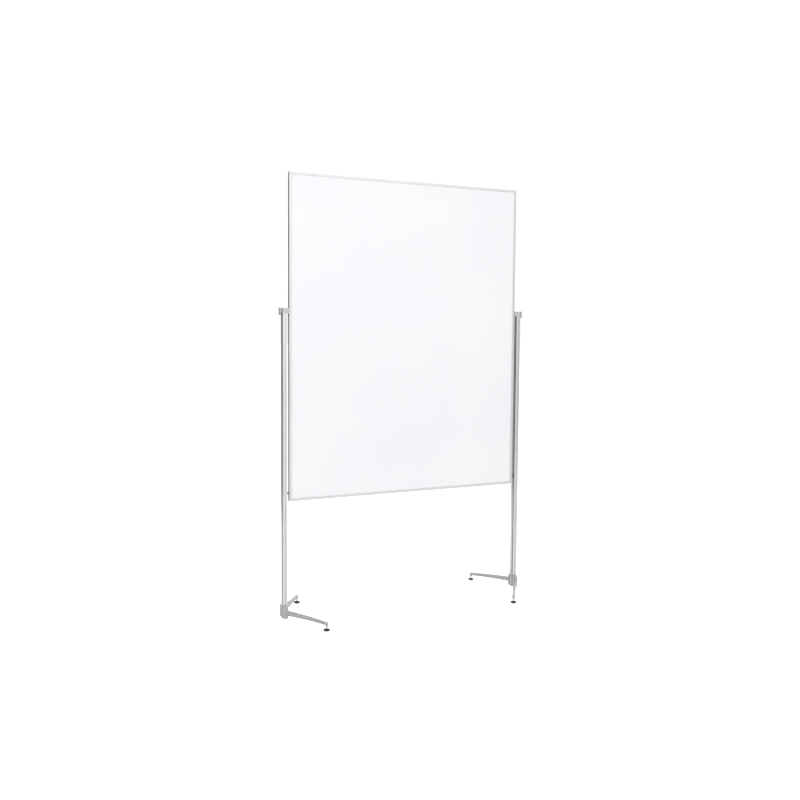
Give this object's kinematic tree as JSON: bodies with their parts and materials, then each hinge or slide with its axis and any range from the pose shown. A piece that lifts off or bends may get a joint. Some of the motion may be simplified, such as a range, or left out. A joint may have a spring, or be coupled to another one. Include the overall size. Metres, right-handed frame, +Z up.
{
  "type": "rolling whiteboard",
  "caption": "Large whiteboard in a slim aluminium frame, clamped between side posts so its height can be set, standing on splayed cast legs with levelling feet.",
  "frame": {"origin": "on the floor, below the middle of the board", "axes": "+X along the board to the right as seen from its front, the front writing side faces -Y, +Z up"},
  "size_m": [1.293, 0.456, 2.053],
  "materials": {
    "sheet_white": "gloss",
    "core_board": "matte",
    "anodised": "satin",
    "cast_silver": "satin",
    "zinc_steel": "satin",
    "grey_plastic": "matte",
    "black_rubber": "matte"
  },
  "bodies": {
    "left_stand": {"post_left": "anodised", "head_left": "cast_silver", "head_screw_left": "zinc_steel", "clamp_nut_left": "zinc_steel", "lower_guide_left": "grey_plastic", "guide_screw_left": "zinc_steel", "post_plug_left": "black_rubber", "leg_left_front": "cast_silver", "leg_left_rear": "cast_silver", "leg_bolt_lower_left": "zinc_steel", "leg_bolt_upper_left": "zinc_steel"},
    "right_stand": {"post_right": "anodised", "head_right": "cast_silver", "head_screw_right": "zinc_steel", "clamp_nut_right": "zinc_steel", "lower_guide_right": "grey_plastic", "guide_screw_right": "zinc_steel", "post_plug_right": "black_rubber", "leg_right_front": "cast_silver", "leg_right_rear": "cast_silver", "leg_bolt_lower_right": "zinc_steel", "leg_bolt_upper_right": "zinc_steel"},
    "board": {"board_core": "core_board", "writing_sheet_front": "sheet_white", "writing_sheet_rear": "sheet_white", "frame_left": "anodised", "frame_right": "anodised", "frame_top": "anodised", "frame_bottom": "anodised", "corner_bracket_bottom_left": "zinc_steel", "corner_bracket_bottom_right": "zinc_steel", "corner_bracket_top_left": "zinc_steel", "corner_bracket_top_right": "zinc_steel"},
    "left_knob": {"clamp_knob_left": "cast_silver", "clamp_stud_left": "zinc_steel"},
    "left_front_pad": {"foot_pad_left_front": "black_rubber"},
    "left_front_stem": {"foot_stem_left_front": "zinc_steel"},
    "left_rear_pad": {"foot_pad_left_rear": "black_rubber"},
    "left_rear_stem": {"foot_stem_left_rear": "zinc_steel"},
    "right_knob": {"clamp_knob_right": "cast_silver", "clamp_stud_right": "zinc_steel"},
    "right_front_pad": {"foot_pad_right_front": "black_rubber"},
    "right_front_stem": {"foot_stem_right_front": "zinc_steel"},
    "right_rear_pad": {"foot_pad_right_rear": "black_rubber"},
    "right_rear_stem": {"foot_stem_right_rear": "zinc_steel"}
  },
  "joints": [
    {"name": "board_height", "type": "slide", "parent": "left_stand", "child": "board", "axis": [0, 0, 1], "range_m": [-0.48, 0]},
    {"name": "right_post_height", "type": "slide", "parent": "board", "child": "right_stand", "axis": [0, 0, 1], "range_m": [0, 0.48]},
    {"name": "left_clamp_turn", "type": "hinge", "parent": "left_stand", "child": "left_knob", "pos_m": [-0.6325, 0, 1.4255], "axis": [-1, 0, 0], "range_deg": [0, 450]},
    {"name": "left_front_foot_lift", "type": "slide", "parent": "left_stand", "child": "left_front_pad", "axis": [0, 0, 1], "range_m": [-0.007, 0.005]},
    {"name": "left_front_stem_turn", "type": "hinge", "parent": "left_front_pad", "child": "left_front_stem", "pos_m": [-0.491, -0.213, 0.02], "axis": [0, 0, 1], "range_deg": [-2520.25, 1800.18]},
    {"name": "left_rear_foot_lift", "type": "slide", "parent": "left_stand", "child": "left_rear_pad", "axis": [0, 0, 1], "range_m": [-0.007, 0.005]},
    {"name": "left_rear_stem_turn", "type": "hinge", "parent": "left_rear_pad", "child": "left_rear_stem", "pos_m": [-0.491, 0.213, 0.02], "axis": [0, 0, 1], "range_deg": [-2520.25, 1800.18]},
    {"name": "right_clamp_turn", "type": "hinge", "parent": "right_stand", "child": "right_knob", "pos_m": [0.6325, 0, 1.4255], "axis": [1, 0, 0], "range_deg": [0, 450]},
    {"name": "right_front_foot_lift", "type": "slide", "parent": "right_stand", "child": "right_front_pad", "axis": [0, 0, 1], "range_m": [-0.007, 0.005]},
    {"name": "right_front_stem_turn", "type": "hinge", "parent": "right_front_pad", "child": "right_front_stem", "pos_m": [0.491, -0.213, 0.02], "axis": [0, 0, 1], "range_deg": [-2520.25, 1800.18]},
    {"name": "right_rear_foot_lift", "type": "slide", "parent": "right_stand", "child": "right_rear_pad", "axis": [0, 0, 1], "range_m": [-0.007, 0.005]},
    {"name": "right_rear_stem_turn", "type": "hinge", "parent": "right_rear_pad", "child": "right_rear_stem", "pos_m": [0.491, 0.213, 0.02], "axis": [0, 0, 1], "range_deg": [-2520.25, 1800.18]}
  ],
  "couplings": [
    {"joint": "right_post_height", "follows": "board_height", "ratio": -1},
    {"joint": "left_front_stem_turn", "follows": "left_front_foot_lift", "rad_per_m": 6283.2},
    {"joint": "left_rear_stem_turn", "follows": "left_rear_foot_lift", "rad_per_m": 6283.2},
    {"joint": "right_front_stem_turn", "follows": "right_front_foot_lift", "rad_per_m": 6283.2},
    {"joint": "right_rear_stem_turn", "follows": "right_rear_foot_lift", "rad_per_m": 6283.2}
  ]
}
